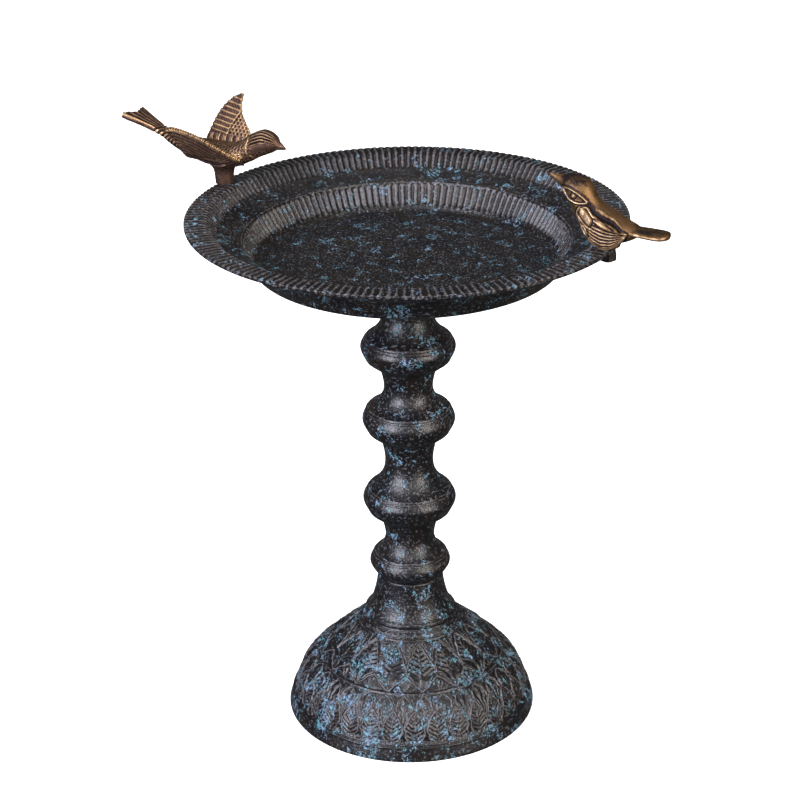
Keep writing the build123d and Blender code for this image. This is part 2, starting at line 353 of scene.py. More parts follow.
def make_bowl():
    """The dish, from the floor's centre out over the rim and back underneath to the boss."""
    rim_r, rim_z = bowl_high.x, bowl_high.z
    under = [
        (rim_r, rim_z - RIM_T),
        (RIM_INNER_R + WALL_STEP * RIM_T, rim_z - RIM_T),
        (LEDGE_R + WALL_STEP * BOWL_T, LEDGE_Z - BOWL_T),
        (PAN_R + LEDGE_STEP * BOWL_T, PAN_EDGE_Z - BOWL_T),
    ]
    under += [(FLOOR_R + steps * BOWL_T, PAN_Z + up) for steps, up in UNDER_CORNER]
    hole_r = rod_r + THREAD_GAP
    wide, half = BOWL_COLUMNS, BOWL_COLUMNS // 2
    return turned(
        "bowl_casting",
        [
            Band([(0, FLOOR_Z), (FLOOR_R, FLOOR_Z)], 0.9, half, floor_relief),
            Band([(FLOOR_R, FLOOR_Z), (PAN_R, PAN_EDGE_Z)], 1.3, wide, pan_wall_relief),
            Band([(PAN_R, PAN_EDGE_Z), (LEDGE_R, LEDGE_Z)], 1.5, wide, ledge_relief),
            Band([(LEDGE_R, LEDGE_Z), (RIM_INNER_R, rim_z)], 1.3, wide, outer_wall_relief),
            Band([(RIM_INNER_R, rim_z), (rim_r, rim_z)], 1.3, wide, rim_relief),
            Band([(rim_r, rim_z), (rim_r, rim_z - RIM_T)], 0.7, wide, rim_edge_relief),
            Band(under, 1.6, half, under_relief),
            Band([(FLOOR_R, PAN_Z), (BOSS_R, PAN_Z)], 3.0, half, plain),
            Band([(BOSS_R, PAN_Z), (BOSS_R, bowl_low.z), (hole_r, bowl_low.z)], 1.0, half // 4, plain),
            Band([(hole_r, bowl_low.z), (hole_r, BLIND_Z), (0, BLIND_Z)], 1.0, half // 8, plain),
        ],
        closed=False,
    )


# ---------------------------------------------------------------- the column and the stem foot

COLUMN_COLUMNS = 256
BORE_R = 16.0
CAPITAL_LIP = 4.0
COLUMN_FOOT_R = 29.0
CAPITAL_NECK = (22.5, 393.0)
# Each knob: its groove, its belly and its lower edge, as radius and height
KNOBS = [
    ((38.6, 365.0), (42.0, 356.6), (37.3, 345.0)),
    ((37.6, 298.3), (41.3, 287.5), (36.4, 276.0)),
    ((38.0, 219.5), (41.8, 210.0), (36.8, 198.0)),
    ((33.0, 155.2), (36.5, 146.5), (33.0, 139.0)),
]
NECKS = [(21.8, 321.0), (21.6, 250.5), (22.1, 174.0)]
SEAM_AZIMUTH = -TURN / 4
SEAM_HEIGHT = 0.22


def seam(azimuth, radius, along):
    """The faint, uneven line left where the two halves of a mould met, at the front and the back."""
    side = radius * np.sin(azimuth - SEAM_AZIMUTH)
    return SEAM_HEIGHT * (0.6 + 0.4 * math.sin(along * 0.37)) * bump(side, 0.9)


def hollow(above, neck, below):
    """A knob's underside in to the neck, and out in a long flare to the next knob's groove."""
    (r0, z0), (r1, z1), (r2, z2) = above, neck, below
    shelf = [(r1 + 0.42 * (r0 - r1), z0 - 6.8), (r1 + 3.2, z0 - 9.0)]
    flare = [(r1 + 1.5, z1 - 0.42 * (z1 - z2)), (r1 + 0.46 * (r2 - r1), z1 - 0.74 * (z1 - z2))]
    return eased([above] + shelf + [neck] + flare + [below], 8).tolist()


def make_column():
    """The baluster: the capital, four grooved knobs and their necks, round a straight bore."""
    top_z, foot_z = column_high.z, column_low.z
    capital_foot = (column_high.x, top_z - CAPITAL_LIP)
    outside = [(BORE_R, top_z), (column_high.x, top_z)]
    outside += hollow(capital_foot, CAPITAL_NECK, KNOBS[0][0])
    for i, knob in enumerate(KNOBS):
        outside += eased(knob, 10).tolist()[1:]
        if i < len(NECKS):
            outside += hollow(knob[2], NECKS[i], KNOBS[i + 1][0])[1:]
    outside += [(COLUMN_FOOT_R + 0.6, foot_z + 2.0), (COLUMN_FOOT_R, foot_z)]
    heights = np.array(outside)
    lengths = np.concatenate([[0], np.cumsum(np.hypot(*np.diff(heights, axis=0).T))])
    grooves = []
    rings = []
    for groove, _, edge in KNOBS:
        at = lengths[np.argmin(np.hypot(heights[:, 0] - groove[0], heights[:, 1] - groove[1]))]
        grooves.append(at)
        rings.append(at + np.hypot(groove[0] - edge[0], groove[1] - edge[1]) + 15.5)

    def relief(azimuth, along):
        line = sum(bump(along - at, 0.9) + 0.7 * bump(along - at - 2.4, 0.8) for at in grooves)
        lip = sum(bump(along - at - 1.2, 0.8) + 0.8 * bump(along - at + 1.6, 1.2) for at in grooves)
        ring = sum(bump(along - at, 1.1) for at in rings[:-1])
        height = -0.75 * line + 0.2 * lip + 0.4 * ring + seam(azimuth, 30.0, along)
        return height, -1.1 * line + 0.75 * lip + 0.5 * ring

    foot = outside[-1]
    return turned(
        "column_casting",
        [
            Band(outside, 0.8, COLUMN_COLUMNS, relief),
            Band([foot, (BORE_R, foot_z)], 2.0, COLUMN_COLUMNS, plain),
            Band([(BORE_R, foot_z), (BORE_R, top_z)], 4.0, COLUMN_COLUMNS // 2, plain),
        ],
        closed=True,
        softness=1,
    )


STEM_LIP = 2.5
STEM_TOP_R = 29.5
STEM_BORE_TOP, STEM_BORE_FOOT = 14.0, 26.0
SPIGOT_R = BORE_R - 0.3
SPIGOT_H = 7.0


def make_stem_foot():
    """A plain flare with a thin lip at its foot and a spigot on top, hidden in the column."""
    foot_r, foot_z, top_z = stem_high.x, stem_low.z, stem_high.z - SPIGOT_H
    rise_z = top_z - foot_z
    flare = [
        (STEM_TOP_R, top_z),
        (STEM_TOP_R + 1.6, top_z - 0.3 * rise_z),
        (STEM_TOP_R + 4.7, top_z - 0.62 * rise_z),
        (STEM_TOP_R + 8.6, top_z - 0.84 * rise_z),
        (foot_r, foot_z + STEM_LIP),
    ]

    def relief(azimuth, along):
        lip = bump(along - 42.3, 1.0)
        line = bump(along - 39.9, 1.0)
        top = bump(along, 1.4)
        height = seam(azimuth, 34.0, along) + 0.3 * lip - 0.5 * line - 0.3 * top
        return height, 0.9 * lip - line - 0.8 * top

    spigot = [(STEM_BORE_TOP, stem_high.z), (SPIGOT_R, stem_high.z), (SPIGOT_R, top_z), (STEM_TOP_R, top_z)]
    bore = [(foot_r, foot_z), (STEM_BORE_FOOT, foot_z), (STEM_BORE_TOP, top_z), (STEM_BORE_TOP, stem_high.z)]
    return turned(
        "stem_foot_casting",
        [
            Band(spigot, 1.0, COLUMN_COLUMNS, plain),
            Band(eased(flare, 12).tolist() + [(foot_r, foot_z)], 0.8, COLUMN_COLUMNS, relief),
            Band(bore, 2.0, COLUMN_COLUMNS, plain),
        ],
        closed=True,
        softness=1,
    )


# ---------------------------------------------------------------- the domed foot

DOME_COLUMNS = 1024
DOME_T = 4.5
CROWN_R = 41.5
UPPER_TOP, UPPER_FOOT = (47.0, 86.5), (72.0, 65.0)
RING, LEAF_TOP = (77.0, 61.0), (81.5, 54.0)
LEAF_FOOT, LEAF_BULGE = (106.5, 17.0), 5.0
FOOT_RIM, FOOT_EDGE_H = (110.0, 14.0), 2.0
UPPER_LEAVES, LOWER_LEAVES = 16, 32
FIRST_LEAF = math.radians(-105.6)
# Where the ornament's bands lie, as distance down the dome from the crown's edge
CHAIN, CHAIN_LINKS, UPPER_BAND = (4.4, 9.0), 48, (12.5, 43.2)
ZIGZAG_BAND, LOWER_BAND, FOOT_GROOVE = (43.6, 59.2), (61.6, 107.4), 108.6
OUTLINE_H, VEIN_H = 1.1, 0.85
HAND_SLIP = 0.004  # how far hand-cut lines stray, in radians
ROD_GAP = 0.3
# How far the dome's inside lies in and down from its outside, in thicknesses
SKIN_IN, SKIN_DOWN = 0.75, 0.7


def leaf(side, down, half, pitch, veins, slope, stem):
    """Relief of one pointed leaf. side is -0.5 to 0.5 of its pitch, half its half-width there, and
    down its distance from the tip; its veins rise outwards at slope, veins apart."""
    inside = (half - np.abs(side)) * pitch
    across = np.abs(side) * pitch
    outline = bump(inside - 0.75, 0.85)
    shadow = bump(inside + 0.75, 0.8)
    body = rise(inside, 1.4, 2.4) * (across > 0)
    vein = np.cos(TURN * (down + slope * across) / veins) * rise(across, stem, stem + 0.8)
    spine = bump(across, stem + 0.3)
    height = OUTLINE_H * outline - 0.45 * shadow + body * (VEIN_H * 0.5 * vein + 0.45 * spine)
    return height, inside


def fan(side, up, pitch, blades):
    """Veins that spread from one point, like a shell. up is the distance from that point."""
    angle = np.arctan2(side * pitch, np.maximum(up, 0.01))
    return np.cos(angle * blades) * rise(np.hypot(side * pitch, up), 1.0, 3.0)


def chain(azimuth, along, radius):
    """The collar band: a plain chain of oval links with a dot in each, between raised lines."""
    side = around(azimuth, CHAIN_LINKS, 0.0) * TURN * radius / CHAIN_LINKS
    down = along - sum(CHAIN) / 2
    links = 0.6 * bump(np.hypot(side / 2.3, down / 1.7) - 1, 0.42)
    dots = 0.45 * bump(np.hypot(side / 0.9, down / 0.7), 1)
    raised = 0.5 * bump(along - 3.0, 0.9) + 0.75 * bump(along - 10.5, 1.0)
    return links + dots + raised - 0.4 * (bump(along - 4.1, 0.6) + bump(along - 9.2, 0.6))


def upper_leaves(azimuth, along, radius):
    """Sixteen broad leaves that meet below their middles, with small tips between them."""
    pitch = TURN * radius / UPPER_LEAVES
    side = around(azimuth, UPPER_LEAVES, FIRST_LEAF)
    down = along - UPPER_BAND[0] - 1.0
    half = 0.5 * np.clip(down / 22.0, 0.0, 1) ** 0.62
    height, inside = leaf(side, down, half, pitch, 4.9, 0.6, 0.5)
    between = around(azimuth, UPPER_LEAVES, FIRST_LEAF + TURN / UPPER_LEAVES / 2)
    tip = bump(np.abs(between) * pitch - 0.16 * max(0.0, 18 - down), 0.8) * (down < 18)
    rays = 0.5 + 0.5 * np.cos(TURN * (down - 0.9 * np.abs(between) * pitch) / 2.6)
    spandrel = rise(-inside, 1.2, 2.2)
    return height + spandrel * (0.35 * rays + 0.4 * tip)


def zigzag(azimuth, along, radius):
    """A wavy line with a fan of veins under each peak and a fan hanging in each valley."""
    low, high = ZIGZAG_BAND
    pitch = TURN * radius / UPPER_LEAVES
    side = around(azimuth, UPPER_LEAVES, FIRST_LEAF + TURN / UPPER_LEAVES / 2)
    wave = 0.3 * (0.5 + 0.5 * np.cos(TURN * side)) + 0.7 * (1 - 2 * np.abs(side))
    top = high - 1.0 - (high - low - 2.6) * wave
    steep = np.hypot(1, 2 * (high - low) / pitch)
    gap = (along - top) / steep
    line = bump(gap, 1.1)
    under = rise(gap, 1.0, 2.0) * fan(side, high - along, pitch, 11)
    valley = around(azimuth, UPPER_LEAVES, FIRST_LEAF)
    over = rise(-gap, 1.0, 2.0) * fan(valley, high - along + 2.0, pitch, 13)
    return OUTLINE_H * line - 0.4 * bump(gap - 1.5, 0.8) + 0.4 * (under + over)


def lower_leaves(azimuth, along, radius):
    """Thirty-two pointed leaves in front, and as many behind that show between them."""
    low, high = LOWER_BAND
    pitch = TURN * radius / LOWER_LEAVES
    back_side = around(azimuth, LOWER_LEAVES, FIRST_LEAF)
    front_side = around(azimuth, LOWER_LEAVES, FIRST_LEAF + TURN / LOWER_LEAVES / 2)
    down = along - low - 0.6
    back_half = 0.42 * np.sin(math.pi * np.clip(down / 30.0, 0.0, 1) ** 0.72)
    back_inside = (back_half - np.abs(back_side)) * pitch
    back = 1.2 * OUTLINE_H * bump(back_inside - 0.6, 0.9) - 0.4 * bump(back_inside + 0.8, 0.8)
    back += 0.35 * rise(back_inside, 1.0, 1.8) * fan(back_side, low + 30.0 - along, pitch, 21)
    tip = low + 14.5
    below = along - tip
    half = 0.48 * math.sin(TURN / 4 * min(1.0, max(0.0, below / 21.0)) ** 0.8)
    half = half * (1 - 0.28 * rise(below, 18.0, 30.0))
    front, inside = leaf(front_side, below, half, pitch, 3.9, 0.75, 0.5)
    behind = rise(-inside, 0.9, 1.6)
    foot = rise(along, high - 3.5, high - 1.0)
    return ((1 - behind) * (front + 0.35) + behind * back) * (1 - foot)


def make_dome():
    """The dome: ornament outside, plain inside, with a hole in its crown for the tie rod."""
    crown_z, foot_r = dome_high.z, dome_high.x
    low, high = np.array(LEAF_TOP), np.array(LEAF_FOOT)
    chord = high - low
    out = np.array([-chord[1], chord[0]]) / np.linalg.norm(chord) * LEAF_BULGE
    bulge = [low + chord * t + out * 4 * t * (1 - t) for t in np.linspace(0, 1, 20)]
    shoulder = [(CROWN_R, crown_z), UPPER_TOP, UPPER_FOOT, RING]
    outside = np.array(shoulder + bulge + [FOOT_RIM, (foot_r, FOOT_EDGE_H), (foot_r, 0)])
    stations = np.concatenate([[0], np.cumsum(np.hypot(*np.diff(outside, axis=0).T))])

    def relief(azimuth, along):
        radius = np.interp(along, stations, outside[:, 0])
        slip = np.sin(23 * azimuth + 0.9 * along) + np.sin(41 * azimuth - 0.5 * along)
        azimuth = azimuth + HAND_SLIP * slip
        if along < UPPER_BAND[0]:
            height = chain(azimuth, along, radius)
        elif along < UPPER_BAND[1]:
            height = upper_leaves(azimuth, along, radius) * rise(UPPER_BAND[1] - along, 0, 1.5)
        elif along < ZIGZAG_BAND[1]:
            height = zigzag(azimuth, along, radius)
        elif along < LOWER_BAND[0]:
            height = 0.7 * bump(along - 60.5, 1.3)
        elif along < LOWER_BAND[1]:
            height = lower_leaves(azimuth, along, radius)
        else:
            height = 0
        height = height - 0.9 * bump(along - FOOT_GROOVE, 1.2) + 0.35 * bump(along - FOOT_GROOVE - 1.9, 1.0)
        # raised lines lighter and grooves darker, following the height: wear with painted highlight and
        # painted shade
        wear_and_shading = height / OUTLINE_H * 1.5 - 0.35
        if along > FOOT_GROOVE + 3:
            wear_and_shading = wear_and_shading + 0.15
        return height, wear_and_shading

    hole_r = rod_r + ROD_GAP
    inner = [outside[0] - (2, DOME_T)] + [p - (DOME_T * SKIN_IN, DOME_T * SKIN_DOWN) for p in outside[1:-2]]
    inner = [(foot_r - DOME_T, 0)] + [tuple(p) for p in inner[::-1]] + [(hole_r, crown_z - DOME_T)]
    return turned(
        "dome_casting",
        [
            Band(outside.tolist(), 0.6, DOME_COLUMNS, relief),
            Band([(foot_r, 0), inner[0]], 1.0, DOME_COLUMNS // 2, plain),
            Band(inner, 2.5, DOME_COLUMNS // 4, plain),
            Band([inner[-1], (hole_r, crown_z)], 1.5, DOME_COLUMNS // 8, plain),
            Band([(hole_r, crown_z), (CROWN_R, crown_z)], 2.5, DOME_COLUMNS // 4, plain),
        ],
        closed=True,
        softness=1,
    )


# ---------------------------------------------------------------- the birds

# Stations of a bird's body: x, z, half width, half height, and the spine's slope in degrees. A
# bird's own frame has its stud at the origin, x towards the bowl's centre and y to its left.
FLYING_BODY = [
    (-62.0, 38.0, 5.0, 2.2, -20.0),
    (-55.0, 35.4, 8.0, 3.8, -20.0),
    (-40.0, 31.0, 10.0, 7.0, -18.0),
    (-15.0, 27.0, 12.5, 10.6, -8.0),
    (8.0, 27.0, 13.5, 10.8, 8.0),
    (24.0, 33.0, 11.5, 10.0, 24.0),
    (35.0, 40.0, 10.6, 10.6, 22.0),
    (45.0, 44.0, 10.2, 10.8, 5.0),
    (53.5, 43.4, 7.2, 7.4, -10.0),
    (57.0, 42.4, 4.2, 4.3, -14.0),
    (61.0, 41.4, 2.5, 2.6, -14.0),
    (65.0, 40.3, 0.8, 0.8, -14.0),
]
PERCHED_BODY = [
    (-27.0, 15.4, 7.0, 3.6, 4.0),
    (-21.0, 15.0, 9.6, 7.2, 6.0),
    (-13.0, 14.6, 12.2, 10.4, 12.0),
    (0.0, 16.4, 14.8, 14.4, 22.0),
    (10.0, 21.5, 15.2, 14.6, 42.0),
    (17.0, 29.0, 13.4, 12.8, 60.0),
    (21.6, 36.5, 12.2, 12.0, 64.0),
    (27.2, 44.4, 12.4, 12.6, 42.0),
    (34.0, 48.6, 9.8, 9.0, 24.0),
    (40.5, 50.6, 5.8, 5.5, 18.0),
    (46.5, 52.6, 3.0, 3.1, 19.0),
    (53.2, 54.9, 0.8, 0.8, 19.0),
]
FLYING_POST = [
    (0, 0), (8.0, 0), (8.2, 2), (8.8, 10), (9.5, 13.5), (11.2, 16.5), (14.5, 20), (9, 25), (0, 25),
]
PERCHED_PAD = [(0, 0), (10.0, 0), (10.3, 1.5), (10.0, 5), (8, 9), (0, 9)]
HEAD_R = 10.6
BODY_R = 11.0  # the flying bird's usual radius, which spaces the feathers round its body
FLYING_EYE, FLYING_MOUTH = (50.6, 45.2), [(65, 40.6), (56, 41.6)]
COLLAR = [(31, 47), (29.5, 41), (31, 34), (36, 30)]
SCALE_LONG, SCALE_WIDE = 3.4, 3.8  # pitch of the body's small feathers
SHELL_WIDE, SHELL_HIGH = 3.9, 3.1  # pitch of the shells at the raised wing's front
BAND_PITCH, VANE_PITCH = 4.3, 4.6  # of the raised wing's bars and the swept wing's feathers
SKIN_CELL = 0.42


def ring_shell(rings):
    """A closed shell over rings of points, each with the same number."""
    rings = np.array(rings)
    count, around_it = rings.shape[:2]
    points = np.vstack([rings.reshape(-1, 3), rings[0].mean(0), rings[-1].mean(0)])
    faces = []
    for i in range(count - 1):
        faces += between_rings(i * around_it, around_it, (i + 1) * around_it, around_it)
    faces += between_rings((count - 1) * around_it, around_it, len(points) - 1, 1)
    faces += [face[::-1] for face in between_rings(0, around_it, len(points) - 2, 1)]
    return points, faces


def body_shell(stations):
    """A bird's body and head: ovals across its spine, in one smooth skin."""
    angle = np.arange(72) * TURN / 72
    rings = []
    for x, z, half_width, half_height, slope in eased(stations, 8):
        lean = math.radians(slope)
        up = half_height * np.cos(angle)
        across = -half_width * np.sin(angle)
        rings.append(np.column_stack([x - up * math.sin(lean), across, z + up * math.cos(lean)]))
    return ring_shell(rings)


def turned_shell(profile):
    """A small turned shape on the bird's own stud axis, from its foot up."""
    angle = -np.arange(48) * TURN / 48
    line = np.array(profile[1:-1], float)
    rings = [np.column_stack([r * np.cos(angle), r * np.sin(angle), 0 * angle + z]) for r, z in line]
    return ring_shell(rings[::-1])


def blade_shell(lead, trail, lift, thickness, arch):
    """A wing or tail between two edges that meet near its tip. lift turns (along, up, out) into the
    bird's frame, and the blade thins towards its tip and arches out by arch."""
    lead, trail = eased(lead, 12), eased(trail, 12)
    rows = []
    shares = np.linspace(0, 1, len(lead))
    for share, a, b in zip(shares, lead, trail):
        thick = thickness * (1 - 0.35 * share)
        top, under = [], []
        for t in np.linspace(0, 1, 24):
            along, up = a + (b - a) * t
            bow = arch * math.sin(math.pi * t) * 0.4 + arch * math.sin(math.pi * share)
            round_off = thick / 2 * math.sqrt(max(0.0, 1 - (2 * t - 1) ** 8)) + 0.25
            top.append(lift(along, up, bow + round_off))
            under.append(lift(along, up, bow - round_off))
        rows.append(top + under[::-1])
    return ring_shell(rows)


def cast_in_one(shells, smoothing):
    """Closed shells melted into one even skin, like one casting: its points, faces and normals."""
    points, faces = [], []
    for shell_points, shell_faces in shells:
        first = len(points)
        points += shell_points.tolist()
        faces += [[first + i for i in face] for face in shell_faces]
    mesh = bpy.data.meshes.new("pattern")
    mesh.from_pydata(points, [], faces)
    pattern = add_object("pattern", mesh)
    skin = pattern.modifiers.new("skin", "REMESH")
    skin.mode, skin.voxel_size = "VOXEL", SKIN_CELL
    ease = pattern.modifiers.new("ease", "SMOOTH")
    ease.factor, ease.iterations = 0.5, smoothing
    made = bpy.data.meshes.new_from_object(pattern.evaluated_get(bpy.context.evaluated_depsgraph_get()))
    co = np.zeros(len(made.vertices) * 3)
    made.vertices.foreach_get("co", co)
    normals = np.zeros(len(made.vertices) * 3, np.float32)
    made.vertex_normals.foreach_get("vector", normals)
    cells = [list(face.vertices) for face in made.polygons]
    bpy.data.objects.remove(pattern)
    return co.reshape(-1, 3), cells, normals.reshape(-1, 3)


def bird_place(joint_name):
    """A bird's own frame in the row frame: at its swivel, facing the bowl's axis."""
    joint = next(j for j in frame["joints"] if j["name"] == joint_name)
    at = Vector(joint["pos_m"])
    return Matrix.Translation(at) @ Matrix.Rotation(math.atan2(-at.y, -at.x), 4, "Z")


RAISED_LEAN, RAISED_ROOT = math.radians(65.0), (0.0, 9.0, 36.0)
RAISED_LEAD = [(24, -6), (23, 3), (19, 11.5), (13, 19), (7.6, 27), (6, 35), (6.2, 43)]
RAISED_TRAIL = [(-24, -6), (-22.5, 5), (-19.5, 16), (-15.5, 26), (-10, 34), (-3.5, 40), (3.6, 43.6)]
SWEPT_LEAN, SWEPT_ROOT = math.radians(55.0), (0.0, -9.0, 25.0)
SWEPT_LEAD = [(26, -4), (25.6, 3), (17, 10.5), (8, 17.5), (-6, 28.5), (-21, 35), (-33, 36.4), (-39.5, 34)]
SWEPT_TRAIL = [(-36, -4), (-37, 2), (-36.5, 8), (-36, 13), (-36.4, 18), (-38, 23), (-40, 27), (-41.5, 30)]
FORK_ROOT, FORK_LEAN = (-50.0, 34.2), math.radians(25.0)
FORK_DROOP, FORK_ROLL = 0.22, 0.06
FORK_HALF = [(0, 6.5), (12, 7), (24, 9), (36, 12.5), (44, 15.6), (49.5, 17)]
FORK_NOTCH, FORK_T, FORK_THICKENS = 40.5, 4.4, 0.4
# Each fork's length past the notch, and how much its outer corner is cut back
LEFT_FORK, RIGHT_FORK = (8.5, 4), (10.5, 1.5)


def raised_lift(along, up, out):
    x, y, z = RAISED_ROOT
    c, s = math.cos(RAISED_LEAN), math.sin(RAISED_LEAN)
    return x + along, y + up * c + out * s, z + up * s - out * c


def swept_lift(along, up, out):
    x, y, z = SWEPT_ROOT
    c, s = math.cos(SWEPT_LEAN), math.sin(SWEPT_LEAN)
    return x + along, y - up * c - out * s, z + up * s - out * c


def fork_lift(along, across, out):
    x, z = FORK_ROOT
    c, s = math.cos(FORK_LEAN), math.sin(FORK_LEAN)
    lifted = out - FORK_DROOP * abs(across) - FORK_ROLL * across
    return x - along * c + lifted * s, across, z + along * s + lifted * c


def fork_shell():
    """The forked tail: a fan whose end runs in to a notch."""
    half = eased(FORK_HALF, 8)
    rows = []
    for share in np.linspace(0, 1, 60):
        top, under = [], []
        for b in np.linspace(-1, 1, 40):
            prong, cut = LEFT_FORK if b > 0 else RIGHT_FORK
            end = FORK_NOTCH + prong * min(1.0, abs(b) * 1.2) ** 1.1
            end -= cut * max(0.0, abs(b) - 0.86) / 0.14
            along = share * end
            across = b * np.interp(along, half[:, 0], half[:, 1])
            thick = (FORK_T + FORK_THICKENS * share) / 2 * math.sqrt(max(0.0, 1 - b**8)) + 0.25
            top.append(fork_lift(along, across, thick))
            under.append(fork_lift(along, across, -thick))
        rows.append(top + under[::-1])
    return ring_shell(rows)


def flying_relief(p):
    """Feathers all over the flying bird: height in millimetres, and wear with painted light and shade, for
    each point.
    """
    x, y, z = p.T
    height, wear_and_shading = np.zeros(len(p)), np.zeros(len(p))

    def lay(mask, h, w):
        """Puts a pattern on where mask is 1, over what is there."""
        height[:] = height * (1 - mask) + h * mask
        wear_and_shading[:] = wear_and_shading * (1 - mask) + w * mask

    # body: rows of small feathers, shell over shell
    row = np.round(x / SCALE_LONG)
    shift = 0.5 * (row % 2)
    over = z - np.interp(x, *np.array(FLYING_BODY)[:, :2].T)
    turn = np.arctan2(y, over)
    cell_x = x - row * SCALE_LONG
    cell_y = ((turn * BODY_R / SCALE_WIDE + shift + 0.5) % 1 - 0.5) * SCALE_WIDE
    shell = np.hypot(cell_x + 1.2, cell_y * 1.1)
    scales = bump(shell - 2.2, 0.8) - 0.7 * bump(shell - 3.3, 0.7)
    lay(np.ones(len(p)), 0.35 * scales, 0.8 * scales - 0.1)
    # underside and belly: long lines from breast to tail
    lines = np.cos(TURN * turn * BODY_R / 2.9)
    below = rise(-z + np.interp(x, [-60, 0, 30], [33, 26, 28]), 0.0, 5.0) * rise(-x, -34, -22)
    lay(below, 0.25 * lines, 0.5 * lines - 0.25)

    # post and belly under it stay plain
    lay(rise(14 - np.hypot(x, y), 0, 2) * rise(19.5 - z, 0, 2), 0, -0.1)

    # head: swept crown stripes, a plain beak, an eye
    face = rise(x, 33, 37) * (1 - rise(x, 54, 57)) * rise(over, -6, -4)
    lay(face, 0, 0.15)
    crown = rise(x, 31, 35) * (1 - rise(x, 54, 57)) * rise(over, 0.5, 2.5)
    sweep = np.cos(TURN * np.arctan2(np.abs(y), over) * HEAD_R / 3.0 + 0.6)
    lay(crown, 0.42 * sweep, 0.9 * sweep - 0.1)
    lay(rise(x, 54.5, 57.5), 0, 0.35)
    mouth = bump(nearest(FLYING_MOUTH, x, z), 0.8) * (np.abs(y) > 0.5)
    height -= 0.4 * mouth
    wear_and_shading -= 0.9 * mouth
    eye = np.hypot(x - FLYING_EYE[0], z - FLYING_EYE[1])
    flank = np.abs(y) > 3
    lay(bump(eye, 3.0) ** 0.3 * flank, 0, -0.3)
    height += (0.7 * bump(eye, 1.4) + 0.3 * bump(eye - 2.1, 0.7)) * flank
    wear_and_shading += (0.6 * bump(eye, 1.1) + 0.5 * bump(eye - 2.1, 0.7)) * flank
    collar = bump(nearest(COLLAR, x, z), 1.6) * flank
    height += 0.5 * collar
    wear_and_shading += collar

    # raised wing: barred flight feathers behind an arc, shells in front of it
    rx, ry, rz = RAISED_ROOT
    c, s = math.cos(RAISED_LEAN), math.sin(RAISED_LEAN)
    up, out = (y - ry) * c + (z - rz) * s, (y - ry) * s - (z - rz) * c
    lead, trail = eased(RAISED_LEAD, 6), eased(RAISED_TRAIL, 6)
    front = np.interp(up, lead[:, 1], lead[:, 0])
    back = np.interp(up, trail[:, 1], trail[:, 0])
    on_blade = rise(up, 4.5, 6.5) * (np.abs(out - 1.2) < 4.2) * (x < front + 2.5) * (x > back - 2.5)
    arc = 0.013 * up**2 - 3.5
    flight = 1 - rise(x - arc, -0.6, 0.6)
    slant = up + 0.16 * (x - back)
    band = (slant / BAND_PITCH) % 1
    quill = bump((band - 0.24) / 0.30, 1.0)
    comb = np.cos(TURN * x / 1.7)
    barb = rise(band, 0.45, 0.55) * (1 - rise(band, 0.92, 1.0))
    flight_h = 0.5 * quill - 0.45 * barb * (0.45 + 0.55 * comb)
    flight_w = 0.75 * quill - barb * (0.50 + 0.85 * comb)
    tier = np.round(up / SHELL_HIGH)
    aside = ((x / SHELL_WIDE + 0.5 * (tier % 2) + 0.5) % 1 - 0.5) * SHELL_WIDE
    cell = np.hypot(aside, up - tier * SHELL_HIGH - 1)
    shells = bump(cell - 1.9, 0.7) - 0.9 * bump(cell - 2.9, 0.7) - 0.5 * bump(cell, 0.9)
    arc_line = bump(x - arc, 1.1) - 1.2 * bump(x - arc - 1.7, 0.9)
    wing_h = flight * flight_h + (1 - flight) * 0.4 * shells + 0.4 * arc_line
    wing_w = flight * flight_w + (1 - flight) * 0.9 * shells + 0.5 * arc_line
    lay(on_blade, wing_h, wing_w)
    wear_and_shading += 0.7 * on_blade * np.maximum(bump(x - front + 0.6, 1.5), bump(x - back - 0.4, 1.2))

    # swept wing: a notched leading ridge, and long feathers with barbs below it
    sx, sy, sz = SWEPT_ROOT
    c, s = math.cos(SWEPT_LEAN), math.sin(SWEPT_LEAN)
    up, out = -(y - sy) * c + (z - sz) * s, -(y - sy) * s - (z - sz) * c
    edge = eased(SWEPT_LEAD, 6).tolist()
    from_lead = nearest(edge, x, up)
    on_blade = rise(up, 3.0, 5.0) * (np.abs(out - 1.2) < 4.2) * (x > -44) * (x < 27) * (y < -6)
    along = x * 0.83 - up * 0.55
    vane = (from_lead / VANE_PITCH) % 1
    quill = bump((vane - 0.5) / 0.16, 1.0)
    barb = np.cos(TURN * (along + 1.6 * np.abs(vane - 0.5) * VANE_PITCH) / 2.3)
    wing_h = 0.5 * quill + 0.4 * barb * (1 - quill) - 0.5 * bump(vane / 0.14, 1.0)
    wing_w = 0.9 * quill + 0.9 * barb * (1 - quill) - 0.25
    lay(on_blade, wing_h, wing_w)
    ridge = on_blade * bump(from_lead - 0.6, 2.6)
    notch = 0.5 + 0.5 * np.cos(TURN * along / 5.2)
    height += ridge * 0.45
    wear_and_shading += ridge * (1.3 - 0.9 * notch * (x > -20))

    # tail: a ladder of short bars at its root, then long straight feathers
    fx, fz = FORK_ROOT
    c, s = math.cos(FORK_LEAN), math.sin(FORK_LEAN)
    along = -(x - fx) * c + (z - fz) * s
    on_tail = rise(along, 8, 11) * rise(z, 37, 39)
    share = y / np.interp(along, *np.array(FORK_HALF).T)
    vanes = np.cos(TURN * share * 3.5)
    lay(on_tail, 0.38 * vanes, 0.85 * vanes - 0.1)
    ladder = rise(along, -11, -8) * (1 - rise(along, 18, 21)) * rise(5.2 - np.abs(np.abs(y) - 6.5), 0, 1.2)
    rungs = rise(np.cos(TURN * (along - 0.5 * np.abs(y)) / 4.2), -0.35, 0.25)
    lay(ladder, 0.7 * rungs - 0.4, 1.5 * rungs - 1.0)
    wear_and_shading += 0.8 * on_tail * bump(np.abs(share) - 0.96, 0.16)
    return height, wear_and_shading


